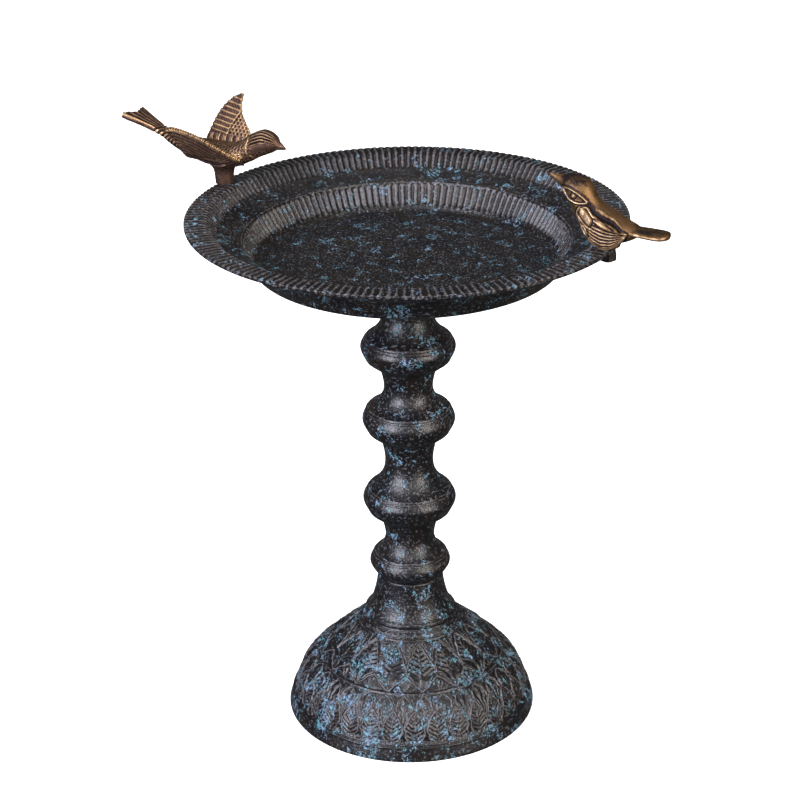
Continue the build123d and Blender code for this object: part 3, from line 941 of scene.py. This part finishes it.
def make_flying_bird():
    """The flying bird, cast in one with its post: one wing raised, one swept back, a forked tail."""
    shells = [
        body_shell(FLYING_BODY),
        turned_shell(FLYING_POST),
        blade_shell(RAISED_LEAD, RAISED_TRAIL, raised_lift, 2.8, 1.2),
        blade_shell(SWEPT_LEAD, SWEPT_TRAIL, swept_lift, 3.0, 1.6),
        fork_shell(),
    ]
    points, faces, normals = cast_in_one(shells, 5)
    height, wear_and_shading = flying_relief(points)
    points = points + normals * height[:, None]
    points[:, 2] = np.maximum(points[:, 2], 0)
    return make_piece("flying_bird_casting", points, faces, wear_and_shading, bird_place("left_bird_swivel"))


FOLDED_WING = [
    (21.5, 33.5), (24.2, 27), (20.5, 18.5), (15.5, 11.0), (9.0, 4.2), (1.0, 0.4),
    (-7, 1.6), (-14, 7.0), (-19.5, 15.0), (-14.5, 18.0), (-8, 23.2), (1, 26.6), (9, 30.0), (14, 34.5),
]
SHOULDER_PATCH = [
    (20.0, 33.2), (21.6, 28.5), (17.6, 23.8), (10.8, 20.0), (8.6, 24.0), (11.0, 28.5), (16.0, 32.4),
]
SECOND_PATCH = [(7.5, 25.8), (3.5, 21.4), (-3.0, 18.8), (-8.2, 18.0), (-4.5, 21.8), (1.5, 25.3)]
LOOP_AT, LOOP_SLOPE, LOOP_HALF = (16.2, 15.6), math.radians(58.0), (3.6, 1.5)
FEATHERS_TOP = [(-19.5, 15.5), (9.0, 23.0), (24.0, 27.5)]
FEATHERS_FRONT, FEATHERS = 11.5, 6.5
BACK_GROOVE = [(12.5, 36.2), (8.6, 31.0), (1, 27.4), (-7.5, 23.4), (-13.5, 18.4), (-16.5, 14.6)]
UPPER_LID = [(37.0, 46.6), (32.0, 46.9), (26.3, 45.3), (21.5, 42.2), (16.8, 38.3)]
LOWER_LID = [(16.8, 38.3), (23.0, 37.8), (28.2, 38.9), (32.8, 41.8), (37.0, 46.6)]
EYEBALL = (27.0, 42.4)
MOUTH = [(52.5, 53.8), (46.5, 49.4), (41.0, 45.2)]
TAIL_ROOT, TAIL_LEAN = (-18.0, 15.8), math.radians(1.5)
TAIL_HALF = [(0, 8.2), (6, 10.0), (14, 10.8), (22, 11.2), (27.5, 10.9), (31.5, 8.9), (33.8, 5.6), (34.8, 1.2)]
TAIL_T = 5.4


def tail_shell():
    """The perched bird's plain tail, with a round end and a crowned top."""
    x, z = TAIL_ROOT
    c, s = math.cos(TAIL_LEAN), math.sin(TAIL_LEAN)
    rings = []
    for along, half in eased(TAIL_HALF, 8):
        angle = np.arange(48) * TURN / 48
        across = half * np.sin(angle)
        out = np.sign(np.cos(angle)) * np.abs(np.cos(angle)) ** 0.6 * min(TAIL_T / 2, 0.6 * half + 0.3)
        out = out + 0.6 - 0.006 * across**2
        rings.append(np.column_stack([np.full(48, x - along * c), across, z - along * s + out * c]))
    return ring_shell(rings[::-1])


def folded_shell(side):
    """One folded wing: a low cushion on the bird's flank."""
    outline = eased(FOLDED_WING, 6, closed=True)
    middle = np.array([1.0, 17.0])
    rings = []
    for share in np.linspace(0.02, 1, 14):
        spot = middle + (outline - middle) * share
        puff = 3.4 * math.sqrt(max(0.0, 1 - share**4))
        hug = 13.6 - 0.010 * (spot[:, 0] - 2) ** 2 - 0.006 * (spot[:, 1] - 17) ** 2
        rings.append(np.column_stack([spot[:, 0], side * (hug + puff), spot[:, 1]]))
    under = rings[-1] - (0, side * 5.0, 0)
    shell_points, faces = ring_shell(rings + [under])
    return shell_points, faces if side < 0 else [face[::-1] for face in faces]


def perched_relief(p):
    """The perched bird's smooth body, its wings' feathers, and its eyes and beak."""
    x, y, z = p.T
    flank = rise(np.abs(y), 3.0, 5.5)
    outline = eased(FOLDED_WING, 5, closed=True)
    wing = depth_inside(outline, x, z)
    shoulder = depth_inside(eased(SHOULDER_PATCH, 5, closed=True), x, z)
    second = depth_inside(eased(SECOND_PATCH, 5, closed=True), x, z)
    eye = depth_inside(np.vstack([eased(UPPER_LID, 5)[:-1], eased(LOWER_LID, 5)[:-1]]), x, z)
    ball = np.hypot(x - EYEBALL[0], z - EYEBALL[1])
    height, wear_and_shading = np.zeros(len(p)), np.zeros(len(p)) + 0.1

    def cut(mask, h, w):
        height[:] += flank * mask * h
        wear_and_shading[:] += flank * mask * w

    cut(bump(wing - 1.0, 1.3), 0.7, 0.9)
    cut(bump(wing + 0.9, 1.2), -0.6, -1.0)
    # feathers: lines that share out the wing's depth, so they run together at its rear tip
    lower = np.array(sorted(FOLDED_WING[1:9]))
    foot = np.interp(x, lower[:, 0], lower[:, 1])
    top = np.interp(x, *np.array(FEATHERS_TOP).T)
    share = (z - foot) / np.maximum(top - foot, 1.0)
    clear = rise(wing, 2.0, 2.8) * (1 - rise(shoulder, -1.6, -0.8)) * (1 - rise(second, -1.6, -0.8))
    vanes = np.cos(TURN * (share * FEATHERS + 0.4))
    field = clear * (1 - rise(x, FEATHERS_FRONT - 1, FEATHERS_FRONT)) * (share < 1)
    cut(field, 0.5 * vanes - 0.15, vanes - 0.25)
    cut(clear * (share >= 1), -0.5, -0.7)
    along = (x - LOOP_AT[0]) * math.cos(LOOP_SLOPE) + (z - LOOP_AT[1]) * math.sin(LOOP_SLOPE)
    aside = (z - LOOP_AT[1]) * math.cos(LOOP_SLOPE) - (x - LOOP_AT[0]) * math.sin(LOOP_SLOPE)
    loop = np.hypot(along / LOOP_HALF[0], aside / LOOP_HALF[1]) - 1
    cut(bump(loop, 0.45), 0.5, 0.9)
    cut(bump(loop + 1, 0.8) + 0.7 * bump(loop - 0.9, 0.4), -0.4, -0.9)
    for patch in (shoulder, second):
        cut(rise(patch, 0.0, 1.6), 0.75, 0.55)
        cut(bump(patch + 0.6, 0.9), -0.5, -1.0)
    cut(bump(shoulder + 1.9, 0.8), 0.4, 0.8)
    # the groove between wing and back, darkened in colour as painted shade
    groove = nearest(BACK_GROOVE, x, z)
    scallop = 0.5 + 0.5 * np.cos(TURN * x / 4.6)
    cut(bump(groove, 2.3 + 0.5 * scallop), -1.4, -0.7 - 0.5 * scallop)
    lip = bump(nearest(BACK_GROOVE[1:], x, z - 2.6), 1.2) * rise(-x, -9, -5)
    cut(lip, 0.4, 0.55)
    cut(bump(eye + 1.0, 1.0), 0.75, 0.9)
    # a dark line just inside the lids: a groove made darker as painted shade
    cut(bump(eye - 0.2, 0.9), -0.7, -1.3)
    cut(rise(eye, 0.6, 1.4), -0.5, -0.1)
    cut(bump(ball, 2.6) * (eye > 0), 1.5, 0.9)
    cut(bump(ball - 2.9, 0.8) * (eye > 0.3), -0.3, -0.9)
    cut(bump(eye + 2.7, 1.2), -0.35, -0.6)
    mouth = bump(nearest(MOUTH, x, z), 0.9) * (np.abs(y) > 0.4)
    height -= 0.5 * mouth
    wear_and_shading -= mouth
    wear_and_shading += 0.25 * rise(x, 41, 42.5)
    # the crown and the tail's top are darker, and the tail's edges brighter as a painted highlight
    wear_and_shading -= 0.55 * rise(z + 0.3 * np.abs(y), 51, 57) * (1 - rise(x, 38, 43))
    tail_x, tail_z = TAIL_ROOT
    back = tail_x - x
    half = np.interp(back, *np.array(TAIL_HALF).T)
    inboard = half - np.abs(y)
    on_tail = rise(back, 3, 7)
    wear_and_shading -= 0.32 * on_tail * rise(inboard, 0.8, 2.5)
    wear_and_shading += 0.35 * on_tail * bump(inboard + 0.1, 1.0)
    return height, wear_and_shading


def make_perched_bird():
    """The perched bird, cast in one with the pad that it stands on."""
    shells = [body_shell(PERCHED_BODY), turned_shell(PERCHED_PAD), tail_shell()]
    shells += [folded_shell(1), folded_shell(-1)]
    points, faces, normals = cast_in_one(shells, 4)
    height, wear_and_shading = perched_relief(points)
    points = points + normals * height[:, None]
    points[:, 2] = np.maximum(points[:, 2], 0)
    return make_piece("perched_bird_casting", points, faces, wear_and_shading, bird_place("right_bird_swivel"))


# ---------------------------------------------------------------- materials


def new_material(name):
    material = bpy.data.materials.new(name)
    material.use_nodes = True
    tree = material.node_tree
    return material, tree, tree.nodes["Principled BSDF"]


def feed(tree, socket, value):
    if isinstance(value, bpy.types.NodeSocket):
        tree.links.new(value, socket)
    else:
        socket.default_value = value


def calc(tree, operation, a, b, clamp=False):
    node = tree.nodes.new("ShaderNodeMath")
    node.operation, node.use_clamp = operation, clamp
    feed(tree, node.inputs[0], a)
    feed(tree, node.inputs[1], b)
    return node.outputs[0]


def times(tree, a, b):
    return calc(tree, "MULTIPLY", a, b)


def plus(tree, a, b, clamp=False):
    return calc(tree, "ADD", a, b, clamp)


def minus(tree, a, b):
    return calc(tree, "SUBTRACT", a, b)


def span(tree, value, low, high, to_low=0.0, to_high=1.0):
    """Maps low..high to to_low..to_high with a smooth step, held at its ends."""
    node = tree.nodes.new("ShaderNodeMapRange")
    node.interpolation_type = "SMOOTHSTEP"
    for i, item in enumerate((value, low, high, to_low, to_high)):
        feed(tree, node.inputs[i], item)
    return node.outputs[0]


def blend(tree, share, a, b):
    """A colour between a and b."""
    node = tree.nodes.new("ShaderNodeMix")
    node.data_type = "RGBA"
    for i, item in ((0, share), (6, a), (7, b)):
        feed(tree, node.inputs[i], item)
    return node.outputs[2]


def grain(tree, size, detail=3.0, roughness=0.55, distortion=0.0, offset=0.0):
    """Noise about size millimetres across, fixed to the piece."""
    place = tree.nodes.new("ShaderNodeTexCoord").outputs["Object"]
    if offset:
        move = tree.nodes.new("ShaderNodeVectorMath")
        move.inputs[1].default_value = (offset, 2 * offset, 3 * offset)
        tree.links.new(place, move.inputs[0])
        place = move.outputs[0]
    node = tree.nodes.new("ShaderNodeTexNoise")
    tree.links.new(place, node.inputs["Vector"])
    node.inputs["Scale"].default_value = 1 / (size * MM)
    node.inputs["Detail"].default_value = detail
    node.inputs["Roughness"].default_value = roughness
    node.inputs["Distortion"].default_value = distortion
    return node.outputs["Fac"]


def stored_relief(tree):
    node = tree.nodes.new("ShaderNodeAttribute")
    node.attribute_name = "relief"
    return node.outputs["Fac"]


def roughen(tree, shader, height, depth):
    """Bump whose height is in millimetres."""
    node = tree.nodes.new("ShaderNodeBump")
    node.inputs["Distance"].default_value = depth * MM
    tree.links.new(height, node.inputs["Height"])
    tree.links.new(node.outputs[0], shader.inputs["Normal"])


def patina_material():
    """Blackened cast metal: lighter on its high lines (rubbed wear and painted highlight), darker in its
    recesses (painted shade), and dabbed with sky-blue verdigris paint.
    """
    material, tree, shader = new_material("patinated_casting")
    relief = stored_relief(tree)
    broad = grain(tree, 26, 2)
    tone = blend(tree, span(tree, broad, 0.40, 0.60), (0.002, 0.002, 0.004, 1), (0.008, 0.005, 0.004, 1))
    sand = grain(tree, 2.3, 2, 0.6)
    fleck = span(tree, sand, 0.57, 0.65)
    tone = blend(tree, times(tree, fleck, 0.75), tone, (0.128, 0.138, 0.155, 1))
    # lighter on the ribs and ridges: partly rubbed wear, partly painted highlight
    rub_and_highlight = span(tree, plus(tree, relief, times(tree, sand, 1.6)), 1.00, 1.75)
    tone = blend(tree, times(tree, rub_and_highlight, 0.80), tone, (0.150, 0.134, 0.138, 1))
    # the recesses darkened to near black: the casting's own black, deepened as painted shade
    recess_shade = span(tree, relief, -0.10, -0.80)
    tone = blend(tree, times(tree, recess_shade, 0.90), tone, (0.004, 0.003, 0.004, 1))

    place = tree.nodes.new("ShaderNodeSeparateXYZ")
    tree.links.new(tree.nodes.new("ShaderNodeTexCoord").outputs["Object"], place.inputs[0])
    low_down = span(tree, place.outputs["Z"], dome_high.z * 1.3 * MM, dome_high.z * 0.7 * MM)
    cluster = plus(tree, grain(tree, 14, 3, 0.62, 0.6, 3.0), times(tree, low_down, 0.05))
    dab = grain(tree, 4.5, 4, 0.75, 0.6, 7.0)
    fine = grain(tree, 2.0, 2, 0.65, 0.4, 5.0)
    near = span(tree, cluster, 0.46, 0.66)
    dab_limit = minus(tree, 0.72, times(tree, near, 0.18))
    dabs = span(tree, minus(tree, dab, dab_limit), 0.0, 0.04)
    fine_limit = minus(tree, 0.73, times(tree, near, 0.19))
    dots = span(tree, minus(tree, fine, fine_limit), 0.0, 0.04)
    broken = span(tree, grain(tree, 1.8, 2, 0.6, 0.0, 9.0), 0.40, 0.50)
    paint = calc(tree, "MAXIMUM", times(tree, dabs, broken), times(tree, dots, 0.9))
    hue = span(tree, grain(tree, 9, 2, 0.5, 0.0, 11.0), 0.40, 0.62)
    blue = blend(tree, hue, (0.135, 0.345, 0.430, 1), (0.225, 0.360, 0.540, 1))
    tone = blend(tree, times(tree, paint, 0.90), tone, blue)
    tree.links.new(tone, shader.inputs["Base Color"])
    dull = plus(tree, times(tree, sand, 0.30), times(tree, paint, 0.25))
    tree.links.new(plus(tree, dull, 0.24), shader.inputs["Roughness"])
    shader.inputs["Metallic"].default_value = 0.0
    shader.inputs["Specular IOR Level"].default_value = 0.60
    pits = plus(tree, sand, times(tree, paint, 0.35))
    roughen(tree, shader, pits, 0.45)
    return material


def brass_material(name, deep, middle, edge, shine, grime):
    """Antiqued brass: dark in its hollows (antiquing and painted shade), brown on its flats, and bright on
    its high edges (wear and painted highlight).
    """
    material, tree, shader = new_material(name)
    relief = stored_relief(tree)
    cloud = grain(tree, 9, 4, 0.65, 0.3)
    stain = grain(tree, 2.2, 4, 0.65)
    wear_and_shading_level = plus(tree, relief, times(tree, minus(tree, cloud, 0.5), grime))
    wear_and_shading_level = plus(tree, wear_and_shading_level, times(tree, minus(tree, stain, 0.5), 0.8 * grime))
    # hollows dark and high edges bright: antiquing and wear, with painted shade and painted highlight
    tone = blend(tree, span(tree, wear_and_shading_level, -0.55, 0.20), deep, middle)
    tone = blend(tree, span(tree, wear_and_shading_level, 0.25, 1.0), tone, edge)
    tree.links.new(tone, shader.inputs["Base Color"])
    shader.inputs["Metallic"].default_value = 0.85
    rough = minus(tree, shine + 0.12, times(tree, wear_and_shading_level, 0.12))
    rough = plus(tree, rough, times(tree, stain, 0.16), clamp=True)
    tree.links.new(rough, shader.inputs["Roughness"])
    roughen(tree, shader, plus(tree, grain(tree, 0.6, 3), stain), 0.18)
    return material


def steel_material():
    """Blackened steel fasteners, faintly mottled."""
    material, tree, shader = new_material("dark_steel")
    stain = grain(tree, 2.2, 4, 0.6)
    tone = blend(tree, span(tree, stain, 0.35, 0.68), (0.030, 0.028, 0.028, 1), (0.110, 0.095, 0.085, 1))
    tree.links.new(tone, shader.inputs["Base Color"])
    shader.inputs["Metallic"].default_value = 0.8
    tree.links.new(plus(tree, times(tree, stain, 0.3), 0.28), shader.inputs["Roughness"])
    roughen(tree, shader, grain(tree, 0.5, 3), 0.06)
    return material


# ---------------------------------------------------------------- stage

CAMERA_AT = Vector((-0.0076, -1.818, 1.1213))
CAMERA_PITCH = math.radians(24.198)
CAMERA_ROLL = math.radians(-0.674)
LENS = 101.48
FLOOR_SIDE = 60.0
FLOOR_GLOW = 0.85
SKY_LIGHT, SKY_SEEN = 0.085, 0.95


def make_camera():
    data = bpy.data.cameras.new("camera")
    data.lens, data.sensor_width = LENS, 36.0
    camera = add_object("camera", data)
    tilt = Matrix.Rotation(math.pi / 2 - CAMERA_PITCH, 4, "X") @ Matrix.Rotation(CAMERA_ROLL, 4, "Z")
    camera.matrix_world = Matrix.Translation(CAMERA_AT) @ tilt
    bpy.context.scene.camera = camera


def softbox(name, at, aim, size, watts, colour):
    data = bpy.data.lights.new(name, "AREA")
    data.shape, data.size, data.size_y = "RECTANGLE", *size
    data.energy, data.color = watts, colour
    lamp = add_object(name, data)
    lamp.location = at
    lamp.rotation_euler = (Vector(aim) - Vector(at)).to_track_quat("-Z", "Y").to_euler()
    return lamp


def make_lights():
    """Soft boxes on both sides, in front and behind."""
    middle = (cad_low + cad_high) / 2
    softbox("left_box", (-1.5, -1.5, 1.3), middle, (0.7, 1.5), 84, (0.86, 0.87, 1.0))
    softbox("right_box", (1.5, -1.5, 1.2), middle, (0.6, 1.4), 44, (1.0, 0.92, 0.85))
    softbox("front_box", (0.0, -1.5, 2.2), middle, (1.6, 0.8), 8, (1.0, 1.0, 1.0))
    softbox("back_box", (0.0, 1.0, 2.7), middle, (2.4, 0.8), 7, (1.0, 0.98, 0.96))
    for side, name in ((-1, "back_left_box"), (1, "back_right_box")):
        fill = softbox(name, (side * 1.5, 1.8, 0.8), middle, (1.0, 1.4), 36, (1.0, 0.98, 0.96))
        fill.visible_glossy = False


def make_sky():
    """An even pale sky, which the camera sees brighter than the light that it gives the object."""
    world = bpy.data.worlds.new("studio")
    world.use_nodes = True
    tree = world.node_tree
    colour, strength = tree.nodes["Background"].inputs[:2]
    colour.default_value = (1.0, 0.98, 0.95, 1)
    ray = tree.nodes.new("ShaderNodeLightPath")
    tree.links.new(span(tree, ray.outputs["Is Camera Ray"], 0.0, 1.0, SKY_LIGHT, SKY_SEEN), strength)
    bpy.context.scene.world = world
    bpy.context.scene.view_settings.view_transform = "Standard"


def make_floor():
    """A wide pale floor, kept evenly pale by a glow of its own."""
    half = FLOOR_SIDE / 2
    corners = [(-half, -half, 0), (half, -half, 0), (half, half, 0), (-half, half, 0)]
    mesh = bpy.data.meshes.new("floor")
    mesh.from_pydata(corners, [], [(0, 1, 2, 3)])
    floor = add_object("floor", mesh)
    material, _, shader = new_material("floor")
    shader.inputs["Base Color"].default_value = (0.90, 0.90, 0.90, 1)
    shader.inputs["Roughness"].default_value = 0.9
    shader.inputs["Emission Color"].default_value = (1, 1, 1, 1)
    shader.inputs["Emission Strength"].default_value = FLOOR_GLOW
    floor.visible_diffuse = floor.visible_glossy = False  # it throws no light up at the object
    floor.data.materials.append(material)


# ---------------------------------------------------------------- putting it together


def finish_piece(piece, material, body, slot, *nodes):
    piece.data.materials.clear()
    piece.data.materials.append(material)
    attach(piece, body)
    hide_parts(*nodes)


make_camera()
make_lights()
make_sky()
make_floor()
patina = patina_material()
# each brass: its hollow colour (antiquing and painted shade), its flat colour, and its edge colour (wear and
# painted highlight)
golden = brass_material(
    "golden_brass", (0.026, 0.018, 0.020, 1), (0.205, 0.115, 0.050, 1), (0.60, 0.43, 0.27, 1), 0.30, 1.5
)
umber = brass_material(
    "umber_brass", (0.020, 0.012, 0.012, 1), (0.150, 0.086, 0.060, 1), (0.50, 0.32, 0.15, 1), 0.34, 1.3
)
steel = steel_material()

finish_piece(make_bowl(), patina, "stand", "patinated_casting", "bowl")
finish_piece(make_column(), patina, "stand", "patinated_casting", "column")
finish_piece(make_stem_foot(), patina, "stand", "patinated_casting", "stem_foot")
finish_piece(make_dome(), patina, "stand", "patinated_casting", "base_dome")
finish_piece(make_flying_bird(), umber, "left_bird", "antique_brass", "flying_bird")
finish_piece(make_perched_bird(), golden, "right_bird", "antique_brass", "perched_bird")
for name, node in frame["nodes"].items():
    if not node.hide_render:
        for material_slot in node.material_slots:
            material_slot.material = steel
